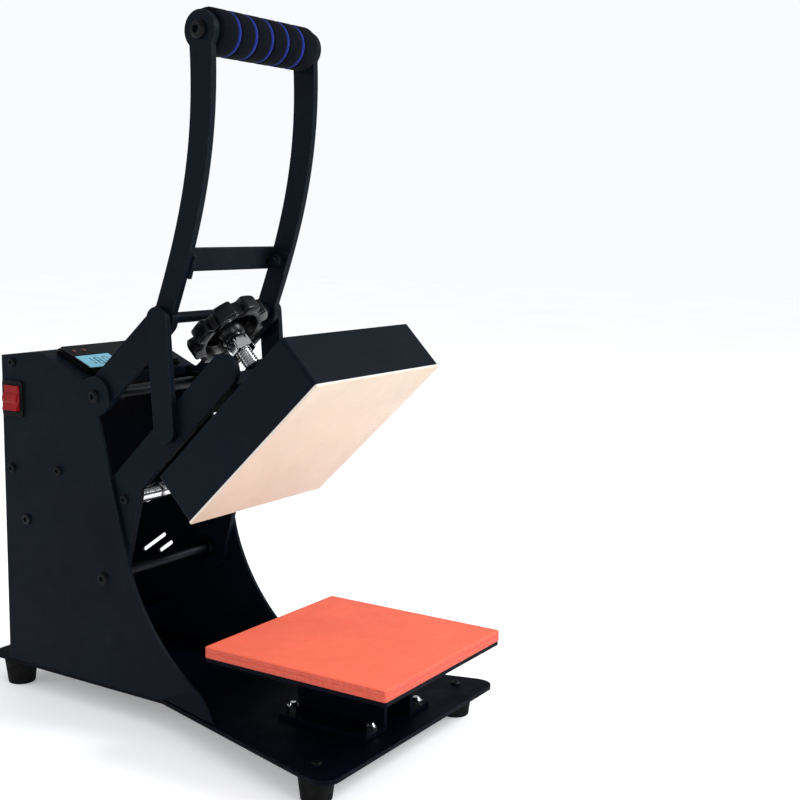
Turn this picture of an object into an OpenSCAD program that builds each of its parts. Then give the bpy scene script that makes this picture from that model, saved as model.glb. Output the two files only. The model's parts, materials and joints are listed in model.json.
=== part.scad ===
// Tabletop clamshell heat press: a heated platen on a toggle arm over a silicone pad.
// The outlines are drawn about a datum: x = 0 on the centre plane, y = 0 at the back edge of
// the pad, z = 0 on top of the pad. on_feet() moves the datum so that the part stands on z = 0.
// The heater arm is drawn closed, lying over the pad, and opened() swings it to its rest pose.

/* [Pressing bed] */
// Side length of the square pad and heating platen
platen_w = 150; // [140:1:154]
// Thickness of the silicone pad
pad_t = 8; // [5:1:10]
// Thickness of the steel bed plate under the pad
bed_t = 3; // [3:0.5:6]

/* [Base] */
// Width of the base plate at its front edge
base_w = 216; // [200:2:240]
// Width of the base plate behind the frame
base_back_w = 124; // [124:1:140]
// Thickness of the base plate
base_t = 3; // [3:0.5:6]
// Drop from the pad's top face to the base plate's top face
base_drop = 54; // [50:1:60]
// Height of the rubber feet
foot_h = 20; // [14:1:24]
// Radius of a foot at its top
foot_r = 13; // [11:0.5:16]

/* [Frame] */
// Width over the two side plates
frame_w = 124; // [122:1:128]
// Thickness of a side plate
plate_t = 2.5; // [2:0.5:3]
// Height of the frame's top above the pad, at the head of the control slope
frame_top = 191.5; // [188:0.5:194]
// Height of the frame's top above the pad, at its back edge
frame_top_back = 186.5; // [184:0.5:190]
// Position of the frame's back edge
frame_back = 214; // [212:1:218]

/* [Linkage] */
// Angle that the heater arm opens through
open_angle = 44.1; // [43:0.1:45]
// Thickness of the arm and lever bars
bar_t = 5; // [4:0.5:5]
// Half width of the arm bars
arm_r = 11.8; // [10:0.2:12]
// Thickness of the outer links
link_t = 4.5; // [4:0.5:5]
// Half width of the outer links
link_r = 9.3; // [8:0.1:10]

/* [Handle] */
// Radius of the foam grip
grip_r = 15.75; // [13:0.25:16]
// Half width of the lever bars at the knee
lever_half_low = 8.2; // [8:0.2:9.4]
// Half width of the lever bars at the grip
lever_half_top = 9.6; // [9:0.2:11]

/* [Heater] */
// Height of the heater cover's top above the closed platen face
cover_h = 40.6; // [37:0.1:43]
// Wall thickness of the heater cover
cover_t = 1.5; // [1:0.5:2]
// Gap left between the platen and the pad when the press is closed
closed_gap = 0.4; // [0.3:0.1:1]
// Radius of the pressure screw
screw_r = 6; // [5:0.5:6]
// Radius of the pressure knob over its lobes
knob_r = 31.5; // [25:0.5:32]
// Number of lobes on the pressure knob
knob_lobes = 8; // [6:1:9]

/* [Controls] */
// Length of the control panel's bezel across the frame
bezel_w = 100; // [90:1:104]
// Length of the bezel up the slope
bezel_l = 39; // [36:1:40]
// Side of the square key caps
key_w = 8; // [6:0.5:9]

/* [Hidden] */
$fn = 48;
fit = 0.05;
slack = 0.3;

// Pivots, as [y, z] in the rest pose
lever_pivot = [115.1, 162.6];
arm_pivot = [109.1, 27.2];
knee = [50.9, 221.6];
link_foot = [45.3, 144.5];
spreader = [62, 221];
grip_at = [14, 415.5];
crossbar_at = [35, 261];
spring_rod_at = [190, 61];

// The same kind of point on the closed arm
arm_front = [-85, 65];
arm_bend = [46, 62];
arm_rod_at = [51.7, 57.6];
screw_y = -68;

// Frame and base stations
base_front = -130;
base_back = 238;
mid_y = (base_back - platen_w) / 2;
base_top = -base_drop;
base_bottom = base_top - base_t;
stand_h = -base_bottom + foot_h;
side_x = frame_w / 2;
inner_x = side_x - plate_t;
bed_bottom = -pad_t - bed_t;
slope_low = [128, 173.5];
slope_high_y = 170.5;
slope_angle = atan2(frame_top - slope_low[1], slope_high_y - slope_low[0]);
foot_spots = [[88, -106], [-88, -106], [50, 215], [-50, 215]];
foot_seat_r = 6;
foot_screw_r = 2.5;

// Layers across the machine: bars inside the side plates, links outside the bars
bar_out = inner_x - 0.5;
bar_in = bar_out - bar_t;
link_in = bar_out + 1;
link_out = link_in + link_t;
shaft_r = 5;
pin_r = 4;
hub_r = 17;
lever_hub_r = 12.5;
knee_r = 11;
grip_end_r = 13.2;

// Screws through the side plates, as [y, z]
tray_screws = [[154, 103], [205, 99.5]];
top_screw = [202, 181.5];
m4_r = 2;
m5_r = 2.5;

// Heater stack, in the closed pose
heat_mid = -platen_w / 2;
face_z = closed_gap;
lip_t = 2;
cover_top = face_z + cover_h;
platen_t = 12;
beam = [32, 10];
beam_low = 54;
beam_top = beam_low + beam[1];
boss_top = 76;
hub_top = cover_top + 7;
nut_low = 90;
nut_h = 10;
collar_top = 103.5;
knob_low = 106.5;
knob_t = 12.5;
guide_x = 30;

// Control panel, in the sloped frame of on_slope()
bezel_v = 24.5;
bezel_t = 5;
lcd = [35, 19.5];
lcd_at = [-29.5, 17.7];
key_x = [4, 19, 34];
key_v = 18;
led_x = [-41, -31, 41];
led_v = 34;

// Power switch and mains inlet
switch_at = [201, 154];
switch_face = [22, 27];
switch_hole = [18.6, 23.4];
rocker = [15.6, 19.2];
rocker_depth = -1;
rocker_tilt = 7;
inlet_at = [22, -18];

// Pedestal under the bed
pedestal_w = 36;
pedestal_l = 74;
pedestal_flange = 80;
pedestal_t = 3;
pedestal_bolt = [29, 33];

// ---- helpers ----

// A cubic Bezier curve through four points
function bez(p, t) = pow(1 - t, 3) * p[0] + 3 * pow(1 - t, 2) * t * p[1]
  + 3 * (1 - t) * t * t * p[2] + pow(t, 3) * p[3];
function bez_dir(p, t) = pow(1 - t, 2) * (p[1] - p[0]) + 2 * (1 - t) * t * (p[2] - p[1])
  + t * t * (p[3] - p[2]);
function side_normal(d) = [-d[1], d[0]] / norm(d);
function bearing(d) = atan2(d[1], d[0]);
function arc(c, r, from, to, steps = 12) = [for (i = [0:steps])
  let (a = from + (to - from) * i / steps) c + r * [cos(a), sin(a)]];

module on_feet() { translate([0, -mid_y, stand_h]) children(); }

module opened() {
  translate([0, arm_pivot[0], arm_pivot[1]]) rotate([-open_angle, 0, 0])
    translate([0, -arm_pivot[0], -arm_pivot[1]]) children();
}

module on_slope() {
  translate([0, slope_low[0], slope_low[1]]) rotate([slope_angle, 0, 0]) children();
}

module mirrored(side) {
  if (side < 0) mirror([1, 0, 0]) children();
  if (side > 0) children();
}

// Lifts an outline drawn in (y, z) to a plate whose inner face is at x0
module yz_plate(x0, t) { translate([x0, 0, 0]) rotate([90, 0, 90]) linear_extrude(t) children(); }

module x_rod(p, r, x0, x1) { translate([x0, p[0], p[1]]) rotate([0, 90, 0]) cylinder(r = r, h = x1 - x0); }

module disc(p, r) { translate(p) circle(r); }

module block(x, y, z) { translate([x[0], y[0], z[0]]) cube([x[1] - x[0], y[1] - y[0], z[1] - z[0]]); }

module round_rect(w, l, r) {
  square([w - 2 * r, l], center = true);
  square([w, l - 2 * r], center = true);
  for (x = [-1, 1], y = [-1, 1]) disc([x * (w / 2 - r), y * (l / 2 - r)], r);
}

module slot(w, l) {
  square([w - l, l], center = true);
  for (x = [-1, 1]) disc([x * (w - l) / 2, 0], l / 2);
}

// A bar with round ends of radius r1 about p1 and r2 about p2
module strap(p1, r1, p2, r2) {
  d = p2 - p1;
  a = bearing(d);
  b = acos((r1 - r2) / norm(d));
  up = [cos(a + b), sin(a + b)];
  down = [cos(a - b), sin(a - b)];
  disc(p1, r1);
  disc(p2, r2);
  polygon([p1 + r1 * up, p1 + r1 * down, p2 + r2 * down, p2 + r2 * up]);
}

module hex(r, h) { cylinder(r = r, h = h, $fn = 6); }

// A button head standing on z = 0, with a hexagon socket
module button_head(r, h) {
  difference() {
    union() {
      cylinder(r = r, h = h * 0.55);
      translate([0, 0, h * 0.55]) cylinder(r1 = r, r2 = r * 0.72, h = h * 0.45);
    }
    translate([0, 0, h * 0.4]) hex(r * 0.48, h);
  }
}

// A screw along +x: button head outside x, shank reaching inwards
module side_screw(p, x, r, head_r, head_h, len) {
  x_rod(p, r, x - len, x);
  translate([x, p[0], p[1]]) rotate([0, 90, 0]) button_head(head_r, head_h);
}

// ---- base and feet ----

module base_outline() {
  corner = 11;
  w = base_w / 2;
  b = base_back_w / 2;
  polygon(concat(
    [[-b, base_back], [b, base_back], [b, flare_back], [w, base_front + corner + 4]],
    arc([w - corner, base_front + corner], corner, 0, -90),
    arc([corner - w, base_front + corner], corner, -90, -180),
    [[-w, base_front + corner + 4], [-b, flare_back]]));
}

module base_plate() {
  color("#15181f") on_feet() translate([0, 0, base_bottom]) linear_extrude(base_t) difference() {
    base_outline();
    for (p = foot_spots) disc(p, foot_screw_r + fit);
    for (x = [-1, 1], y = [-1, 1])
      disc([x * pedestal_bolt[0], heat_mid + y * pedestal_bolt[1]], m5_r + fit);
  }
}

module feet() {
  color("#101010") on_feet() for (p = foot_spots) translate([p[0], p[1], base_bottom - foot_h])
    difference() {
      cylinder(r1 = foot_r * 0.8, r2 = foot_r, h = foot_h);
      translate([0, 0, -1]) cylinder(r = foot_screw_r + fit, h = foot_h + 2);
      translate([0, 0, -1]) cylinder(r = foot_seat_r, h = 7);
    }
}

module foot_screws() {
  head_h = 2;
  nut_z = base_bottom - foot_h + 2;
  color("#8d9198") on_feet() for (p = foot_spots) translate([p[0], p[1], 0]) {
    translate([0, 0, nut_z]) cylinder(r = foot_screw_r, h = base_top - nut_z);
    translate([0, 0, base_top]) button_head(3.6, head_h);
    translate([0, 0, nut_z]) hex(4.6, 4);
  }
}

// ---- frame ----

// Front edge of a side plate, from the neck under the ear down towards the base
front_edge = [[86.5, 52], [79, 15], [50, -30], [-4, base_top]];

// The plate's lower front corner is bent outwards, along the line from fold_low to fold_high,
// and its tip stands flare_out from the plate's inner face, over the base's flared edge
flare_back = 52;
flare_out = 16.5;
flare_tip_y = -9;
fold_low = [flare_back, base_top];
fold_high = bez(front_edge, 0.845);

module side_outline() {
  ear_r = 14.5;
  neck = [111.5, 146];
  polygon(concat(
    [[frame_back, base_top], [frame_back, frame_top_back], [slope_high_y, frame_top], slope_low,
      lever_pivot + ear_r * [cos(62), sin(62)], lever_pivot, neck],
    [for (i = [0:16]) bez(front_edge, 0.845 * i / 16)], [fold_low]));
  disc(lever_pivot, ear_r);
}

module bent_corner() {
  along = fold_high - fold_low;
  a = bearing(along);
  tip = [flare_tip_y, base_top] - fold_low;
  down = tip * [-sin(a), cos(a)];
  high = [norm(along), 0];
  low = [tip * [cos(a), sin(a)], norm([down, flare_out])];
  bulge = 1.6 * [low[1], high[0] - low[0]] / norm(low - high);
  translate([inner_x, fold_low[0], fold_low[1]]) rotate([a, 0, 0])
    rotate([0, atan2(flare_out, down), 0]) yz_plate(0, plate_t)
      polygon(concat([[0, 0]], [for (i = [0:6]) let (t = i / 6)
        high + (low - high) * t + 4 * t * (1 - t) * bulge]));
}

module side_holes() {
  disc(lever_pivot, shaft_r + fit);
  disc(arm_pivot, shaft_r + fit);
  disc(spring_rod_at, pin_r + fit);
  for (p = concat(tray_screws, [top_screw])) disc(p, m4_r + fit);
}

module side_plate_left() {
  color("#1a1e27") on_feet() mirrored(-1) {
    yz_plate(inner_x, plate_t) difference() {
      side_outline();
      side_holes();
      translate(switch_at) square(switch_hole + [0.2, 0.2], center = true);
    }
    bent_corner();
  }
}

module side_plate_right() {
  vents = [[[174, 20.5], 32], [[161, 18.5], 19]];
  color("#1a1e27") on_feet() {
    yz_plate(inner_x, plate_t) difference() {
      side_outline();
      side_holes();
      for (v = vents) translate(v[0]) rotate(-35) slot(v[1], 3.4);
    }
    bent_corner();
  }
}

module rear_panel() {
  panel_t = 1.5;
  gap = 4;
  color("#171a22") on_feet() translate([0, frame_back, 0]) rotate([90, 0, 0])
    linear_extrude(panel_t) difference() {
      translate([-inner_x + fit, base_top + gap]) square([2 * (inner_x - fit), frame_top_back - 1.6 - base_top - gap]);
      for (i = [0:7]) translate([0, 62 + i * 9]) slot(70, 4);
      translate(inlet_at) square([27, 20], center = true);
    }
}

// Height of the frame's top at station y behind the slope
function top_at(y) = frame_top
  + (frame_top_back - frame_top) * (y - slope_high_y) / (frame_back - slope_high_y);

module top_panel() {
  sheet = 1.5;
  lip = 7;
  front = slope_low + 2.2 * [cos(slope_angle), sin(slope_angle)];
  color("#171a22") on_feet() difference() {
    union() {
      difference() {
        yz_plate(-inner_x + fit, 2 * (inner_x - fit)) polygon([
          [frame_back, frame_top_back], [slope_high_y, frame_top], front,
          front + sheet * [sin(slope_angle), -cos(slope_angle)],
          [slope_high_y + 0.1, frame_top - sheet], [frame_back, frame_top_back - sheet]]);
        on_slope() block([-46, 46], [6.5, 42.5], [-9, 9]);
      }
      block([-52, 52], [front[0], front[0] + sheet], [front[1] - lip, front[1]]);
      for (s = [-1, 1]) mirrored(s) yz_plate(inner_x - fit - sheet, sheet) polygon([
        [190, 173], [212, 173], [212, top_at(212) - sheet / 2], [190, top_at(190) - sheet / 2]]);
    }
    x_rod(top_screw, m4_r + fit, -side_x, side_x);
  }
}

module frame_screws() {
  color("#2a2d33") on_feet() for (s = [-1, 1]) mirrored(s) {
    for (p = concat(tray_screws, [top_screw])) {
      side_screw(p, side_x, m4_r, 3.5, 2.4, 9);
      x_rod(p, 3.8, inner_x - 5.2, inner_x - 1.6, $fn = 6);
    }
  }
}

module pivot_brace() {
  sheet = 2;
  y0 = 150;
  z = [-44, -24];
  color("#171a22") on_feet() {
    block([-inner_x + fit, inner_x - fit], [y0, y0 + sheet], z);
    for (s = [-1, 1]) mirrored(s)
      block([inner_x - fit - sheet, inner_x - fit], [y0, y0 + 18], z);
  }
}

module electronics_tray() {
  sheet = 1.5;
  floor_z = 91;
  color("#9aa0a6") on_feet() difference() {
    union() {
      block([-inner_x + fit, inner_x - fit], [146, 211], [floor_z, floor_z + sheet]);
      block([-inner_x + 2, inner_x - 2], [146, 146 + sheet], [floor_z, 156]);
      for (s = [-1, 1]) mirrored(s)
        block([inner_x - fit - sheet, inner_x - fit], [148, 211], [floor_z, 109]);
    }
    for (p = tray_screws) x_rod(p, m4_r + fit, -side_x, side_x);
  }
}

module relay_block() {
  color("#e8e4d8") on_feet() block([-34, -4], [164, 200], [92.5, 114]);
}

module terminal_block() {
  color("#20242a") on_feet() difference() {
    block([10, 44], [178, 194], [92.5, 108]);
    for (i = [0:3]) translate([15.5 + i * 8, 186, 99]) cylinder(r = 2.4, h = 12);
  }
}

// ---- shafts, springs and their screws ----

module lever_pivot_shaft() {
  color("#b9bdc2") on_feet() x_rod(lever_pivot, shaft_r, -side_x, side_x);
}

module arm_pivot_shaft() {
  color("#b9bdc2") on_feet() x_rod(arm_pivot, shaft_r, -side_x, side_x);
}

module shaft_collars() {
  collar = [8.5, 6];
  x = bar_in - 0.5 - collar[1];
  color("#8d9198") on_feet() for (s = [-1, 1], p = [lever_pivot, arm_pivot]) mirrored(s)
    difference() {
      x_rod(p, collar[0], x, x + collar[1]);
      x_rod(p, shaft_r + fit, x - 1, x + collar[1] + 1);
    }
}

module pivot_screws() {
  color("#2a2d33") on_feet() for (s = [-1, 1], p = [lever_pivot, arm_pivot]) mirrored(s) {
    translate([side_x, p[0], p[1]]) rotate([0, 90, 0]) button_head(4.8, 2.6);
  }
}

module spring_rod() {
  color("#b9bdc2") on_feet() {
    x_rod(spring_rod_at, pin_r, -side_x, side_x);
    for (s = [-1, 1]) mirrored(s)
      translate([side_x, spring_rod_at[0], spring_rod_at[1]]) rotate([0, 90, 0])
        button_head(4.2, 2.4);
  }
}

// [y, z] of a point of the closed arm once it is open
function open_point(p) = arm_pivot + [[cos(open_angle), sin(open_angle)],
  [-sin(open_angle), cos(open_angle)]] * (p - arm_pivot);

module lift_springs() {
  coil_r = 6.5;
  hook = 9;
  low = spring_rod_at;
  high = open_point(arm_rod_at);
  along = high - low;
  color("#c9ccd0") on_feet() for (x = [-24, 24]) translate([x, low[0], low[1]])
    rotate([bearing(along) - 90, 0, 0]) translate([0, 0, hook])
      cylinder(r = coil_r, h = norm(along) - 2 * hook);
}

// ---- controls ----

module controller_bezel() {
  color("#0c0d10") on_feet() on_slope() translate([0, bezel_v, 0]) difference() {
    union() {
      linear_extrude(bezel_t * 0.6) round_rect(bezel_w, bezel_l, 4);
      linear_extrude(bezel_t) round_rect(bezel_w - 3, bezel_l - 3, 3);
    }
    translate([0, 0, -1]) linear_extrude(bezel_t - 1.2) square([88, 32], center = true);
    translate([lcd_at[0], lcd_at[1] - bezel_v, 0]) linear_extrude(9) square(lcd, center = true);
    for (x = key_x) translate([x, key_v - bezel_v, 0]) linear_extrude(9)
      square([key_w + 0.6, key_w + 0.6], center = true);
    for (x = led_x) translate([x, led_v - bezel_v, 0]) cylinder(r = 1.6, h = 9);
  }
}

module controller_case() {
  depth = 20;
  wall = 1.5;
  color("#15171b") on_feet() on_slope() difference() {
    block([-45, 45], [7.5, 41.5], [-depth, 0]);
    block([-45 + wall, 45 - wall], [7.5 + wall, 41.5 - wall], [-depth + wall, 1]);
  }
}

module controller_board() {
  color("#1f6b3a") on_feet() on_slope() {
    block([-43, 43], [9.5, 39.5], [-2.1, -0.5]);
    block([-42, -12], [12, 25], [-0.5, 1.2]);
  }
}

module display_window() {
  color("#bfe6f2") on_feet() on_slope() translate([lcd_at[0], lcd_at[1], 2.2])
    linear_extrude(2.2) square(lcd - [0.2, 0.2], center = true);
}

module status_leds() {
  color("#b02020") on_feet() on_slope() for (x = led_x) translate([x, led_v, 1.6])
    cylinder(r = 1.5, h = 3.9);
}

module key_cap(x) {
  color("#3a3d44") on_feet() on_slope() translate([x, key_v, 2.4]) {
    linear_extrude(3.6) square(key_w, center = true);
    translate([0, 0, 3.6]) linear_extrude(0.6) square(key_w - 1.2, center = true);
  }
}

module key_set() { key_cap(key_x[0]); }

module key_up() { key_cap(key_x[1]); }

module key_down() { key_cap(key_x[2]); }

// Local frame of the switch: x up, y across, z out of the left side plate
module at_switch() {
  translate([-side_x, switch_at[0], switch_at[1]]) rotate([0, -90, 0]) children();
}

module switch_bezel() {
  body_depth = 14;
  opening = rocker + [0.7, 1.4];
  color("#0e0f12") on_feet() at_switch() difference() {
    union() {
      linear_extrude(2) round_rect(switch_face[1], switch_face[0], 2);
      translate([0, 0, -body_depth]) linear_extrude(body_depth)
        square([switch_hole[1], switch_hole[0]], center = true);
    }
    translate([0, 0, -9.5]) linear_extrude(13) square([opening[1], opening[0]], center = true);
  }
}

module switch_rocker() {
  h = rocker[1] / 2;
  color("#d8231a") on_feet() at_switch() translate([0, 0, rocker_depth]) rotate([0, rocker_tilt, 0])
    rotate([90, 0, 0]) linear_extrude(rocker[0], center = true) {
      polygon([[-h, -3], [-h, 5.6], [0, 4.1], [h, 5.6], [h, -3]]);
      disc([0, 0], 6.5);
    }
}

module mains_inlet() {
  color("#0d0e10") on_feet() translate([inlet_at[0], frame_back, inlet_at[1]]) rotate([-90, 0, 0])
    difference() {
      union() {
        linear_extrude(2.5) round_rect(31, 24, 3);
        translate([0, 0, -16]) linear_extrude(16) square([26.8, 19.8], center = true);
      }
      translate([0, 0, -13]) linear_extrude(20) polygon([[-12, -8], [12, -8], [12, 4], [8, 8], [-8, 8], [-12, 4]]);
    }
}

module inlet_pins() {
  pin = [2, 11, 4];
  color("#c8b070") on_feet() translate([inlet_at[0], frame_back - 13, inlet_at[1]])
    for (p = [[-7, 2], [0, -2], [7, 2]]) translate([p[0] - pin[0] / 2, 0, p[1] - pin[2] / 2])
      cube(pin);
}

// ---- pressing bed ----

module pedestal() {
  half = pedestal_w / 2;
  y = [heat_mid - pedestal_l / 2, heat_mid + pedestal_l / 2];
  color("#15181f") on_feet() difference() {
    union() {
      block([-half - 12, half + 12], y, [bed_bottom - pedestal_t, bed_bottom]);
      for (s = [-1, 1]) mirrored(s) {
        block([half - pedestal_t, half], y, [base_top, bed_bottom]);
        block([half - pedestal_t, pedestal_flange / 2], y, [base_top, base_top + pedestal_t]);
      }
    }
    for (x = [-1, 1], v = [-1, 1]) {
      translate([x * pedestal_bolt[0], heat_mid + v * pedestal_bolt[1], base_top - 1])
        cylinder(r = m5_r + fit, h = pedestal_t + 2);
      translate([x * 24, heat_mid + v * 30, bed_bottom - pedestal_t - 1])
        cylinder(r = 2 + fit, h = pedestal_t + 2);
    }
  }
}

module pedestal_bolts() {
  color("#d9dce0") on_feet() for (x = [-1, 1], v = [-1, 1])
    translate([x * pedestal_bolt[0], heat_mid + v * pedestal_bolt[1], 0]) {
      translate([0, 0, base_bottom - 4]) cylinder(r = m5_r, h = base_t + pedestal_t + 4);
      translate([0, 0, base_bottom - 4]) hex(4.6, 4);
      translate([0, 0, base_top + pedestal_t]) hex(4.6, 3.6);
      translate([0, 0, base_top + pedestal_t + 3.6]) cylinder(r1 = 3.6, r2 = 2, h = 2.4);
    }
}

module bed_plate() {
  color("#15181f") on_feet() translate([0, heat_mid, bed_bottom]) difference() {
    linear_extrude(bed_t) round_rect(platen_w - 1, platen_w - 1, 2);
    for (x = [-24, 24], v = [-30, 30]) translate([x, v, -1]) cylinder(r = 2 + fit, h = bed_t);
  }
}

module bed_screws() {
  low = bed_bottom - pedestal_t;
  color("#8d9198") on_feet() for (x = [-24, 24], v = [-30, 30])
    translate([x, heat_mid + v, low - 2.4]) {
      cylinder(r = 2, h = pedestal_t + 2.4 + bed_t - 1.4);
      cylinder(r = 3.6, h = 2.4);
    }
}

module silicone_pad() {
  color("#f2705c") on_feet() translate([0, heat_mid, -pad_t]) linear_extrude(pad_t)
    round_rect(platen_w, platen_w, 1.5);
}

// ---- heater arm, drawn closed ----

module arm(side) {
  pin = open_inverse(link_foot);
  color("#1b2029") on_feet() opened() mirrored(side) yz_plate(bar_in, bar_t) difference() {
    union() {
      strap(arm_front, arm_r, [arm_bend[0], arm_front[1]], arm_r);
      strap(arm_bend, 14, arm_pivot, hub_r);
    }
    disc(arm_pivot, shaft_r + fit);
    disc(pin, pin_r + fit);
    disc(arm_rod_at, m5_r + fit);
  }
}

// [y, z] that an open point has on the closed arm
function open_inverse(p) = arm_pivot + [[cos(open_angle), -sin(open_angle)],
  [sin(open_angle), cos(open_angle)]] * (p - arm_pivot);

module arm_left() { arm(-1); }

module arm_right() { arm(1); }

module arm_cross_rod() {
  color("#c9ccd0") on_feet() opened() difference() {
    x_rod(arm_rod_at, 5, -bar_in, bar_in);
    for (s = [-1, 1]) mirrored(s) x_rod(arm_rod_at, m5_r + fit, bar_in - 12, bar_in + 1);
  }
}

// The links' pins, and the screws that clamp the cross rod
module toggle_pins() {
  pin = open_inverse(link_foot);
  color("#b9bdc2") on_feet() opened() for (s = [-1, 1]) mirrored(s) {
    x_rod(pin, pin_r, bar_in - 1, bar_out + 0.6);
    x_rod(pin, 7.5, bar_in - 3, bar_in);
    side_screw(arm_rod_at, bar_out, m5_r, 3.8, 2.2, bar_t + 11);
  }
}

module pressure_beam() {
  color("#1b2029") on_feet() opened() difference() {
    union() {
      block([-bar_in, bar_in], [screw_y - beam[0] / 2, screw_y + beam[0] / 2], [beam_low, beam_top]);
      translate([0, screw_y, beam_top]) cylinder(r = 10.5, h = boss_top - beam_top);
    }
    translate([0, screw_y, beam_low - 1]) cylinder(r = screw_r + fit, h = boss_top - beam_low + 2);
    for (s = [-1, 1]) translate([s * guide_x, screw_y, beam_low - 1])
      cylinder(r = pin_r + fit, h = beam[1] + 2);
  }
}

// ---- heater, drawn closed ----

module heating_platen() {
  color("#e8cdb6") on_feet() opened() translate([0, heat_mid, face_z]) {
    linear_extrude(lip_t) round_rect(platen_w, platen_w, 2);
    translate([0, 0, lip_t]) linear_extrude(platen_t - lip_t) round_rect(platen_w - 8, platen_w - 8, 4);
  }
}

module heating_element() {
  color("#b5a48a") on_feet() opened() translate([0, heat_mid, face_z + platen_t])
    linear_extrude(3) round_rect(130, 130, 3);
}

module insulation_blanket() {
  color("#ece8dc") on_feet() opened() translate([0, heat_mid, face_z + platen_t + 3])
    linear_extrude(18) round_rect(platen_w - 10, platen_w - 10, 3);
}

module heater_cover() {
  low = face_z + lip_t;
  inner = platen_w - 2 * cover_t;
  color("#1d222c") on_feet() opened() difference() {
    translate([0, heat_mid, low]) linear_extrude(cover_top - low) round_rect(platen_w, platen_w, 3);
    translate([0, heat_mid, low - 1]) linear_extrude(cover_top - low - cover_t + 1)
      round_rect(inner, inner, 2);
    translate([0, 1, cover_top - 14]) rotate([90, 0, 0]) cylinder(r = 5 + fit, h = 4);
    for (x = [-1, 1], v = [-1, 1]) translate([x * 62, heat_mid + v * 62, cover_top - 4])
      cylinder(r = 2 + fit, h = 8);
    for (s = [-1, 1]) translate([s * guide_x, screw_y, cover_top - 4]) cylinder(r = pin_r + fit, h = 8);
  }
}

module cover_screws() {
  color("#8d9198") on_feet() opened() for (x = [-1, 1], v = [-1, 1])
    translate([x * 62, heat_mid + v * 62, 0]) {
      translate([0, 0, face_z + platen_t + 21.1]) cylinder(r = 2, h = cover_top - face_z - platen_t - 21.1);
      translate([0, 0, cover_top]) button_head(4, 2.2);
    }
}

module screw_hub() {
  color("#1b2029") on_feet() opened() translate([0, screw_y, cover_top]) difference() {
    union() {
      cylinder(r = 22, h = 3);
      cylinder(r = 12, h = hub_top - cover_top);
    }
    translate([0, 0, 1.5]) cylinder(r = screw_r + fit, h = hub_top);
  }
}

module guide_pins() {
  color("#b9bdc2") on_feet() opened() for (s = [-1, 1]) translate([s * guide_x, screw_y, 0]) {
    translate([0, 0, cover_top - cover_t - 3]) cylinder(r = pin_r, h = beam_top + 1.5 - cover_top + cover_t + 3);
    translate([0, 0, cover_top - cover_t - 3]) cylinder(r = 6.5, h = 3);
  }
}

module lead_gland() {
  color("#101114") on_feet() opened() translate([0, 0, cover_top - 14]) rotate([-90, 0, 0]) difference() {
    union() {
      translate([0, 0, -4]) cylinder(r = 5, h = 5);
      cylinder(r = 7.5, h = 3, $fn = 6);
      translate([0, 0, 3]) cylinder(r1 = 6, r2 = 4.2, h = 7);
    }
    translate([0, 0, -5]) cylinder(r = 2.6, h = 20);
  }
}

// ---- pressure screw and knob, drawn closed ----

module pressure_screw() {
  low = cover_top + 2;
  color("#d9dce0") on_feet() opened() translate([0, screw_y, 0]) {
    translate([0, 0, low]) cylinder(r = screw_r, h = knob_low + knob_t - 4 - low);
    translate([0, 0, nut_low + nut_h]) cylinder(r = 7.5, h = collar_top - nut_low - nut_h);
  }
}

module lock_nut() {
  color("#e2e5e8") on_feet() opened() translate([0, screw_y, nut_low]) difference() {
    hex(11, nut_h);
    translate([0, 0, -1]) cylinder(r = screw_r + fit, h = nut_h + 2);
  }
}

module pressure_knob() {
  rim = 4;
  lobe_w = 15;
  core_r = knob_r - 5.5;
  web_t = 4;
  color("#111215") on_feet() opened() translate([0, screw_y, knob_low]) difference() {
    union() {
      linear_extrude(knob_t) intersection() {
        circle(knob_r);
        union() {
          circle(core_r);
          for (i = [0:knob_lobes - 1]) rotate(i * 360 / knob_lobes)
            translate([knob_r / 2, 0]) square([knob_r, lobe_w], center = true);
        }
      }
      translate([0, 0, collar_top - knob_low]) cylinder(r1 = 9.5, r2 = 12, h = knob_low - collar_top + 6);
    }
    difference() {
      translate([0, 0, -1]) cylinder(r = core_r - rim, h = knob_t - web_t + 1);
      translate([0, 0, -5]) cylinder(r = 12, h = knob_t + 2);
    }
    translate([0, 0, -5]) cylinder(r = screw_r + fit, h = knob_t + 1);
  }
}

// ---- lever and handle ----

lever_line = [knee, [28, 280], [8, 335], grip_at];

// One edge of the curved bar: side 1 is towards the front, side -1 towards the back
function lever_edge(t, side) = bez(lever_line, t)
  + side * (lever_half_low + (lever_half_top - lever_half_low) * t * t)
  * side_normal(bez_dir(lever_line, t));

// Hub, then up the back edge, round the grip's end and down the front edge to the knee
module lever_outline() {
  to_hub = lever_pivot - knee;
  hub_a = bearing(to_hub);
  hub_b = acos((knee_r - lever_hub_r) / norm(to_hub));
  low_a = bearing(bez_dir(lever_line, 0));
  low_b = acos(lever_half_low / knee_r);
  top_a = bearing(bez_dir(lever_line, 1));
  top_b = acos(lever_half_top / grip_end_r);
  steps = 25;
  polygon(concat(
    arc(lever_pivot, lever_hub_r, hub_a - hub_b, hub_a + hub_b, 24),
    arc(knee, knee_r, hub_a + hub_b, low_a - 90 + low_b, 2),
    [for (i = [1:steps - 1]) lever_edge(i / steps, -1)],
    arc(grip_at, grip_end_r, top_a - 90 - top_b, top_a + 90 + top_b, 32),
    [for (i = [steps - 1:-1:1]) lever_edge(i / steps, 1)],
    arc(knee, knee_r, low_a + 90 - low_b, hub_a - hub_b + 360, 8)));
}

module lever(side) {
  color("#1c212b") on_feet() mirrored(side) yz_plate(bar_in, bar_t) difference() {
    lever_outline();
    for (h = [[lever_pivot, shaft_r], [knee, pin_r], [grip_at, pin_r], [crossbar_at, 3], [spreader, 2.5]])
      disc(h[0], h[1] + fit);
  }
}

module lever_left() { lever(-1); }

module lever_right() { lever(1); }

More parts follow.
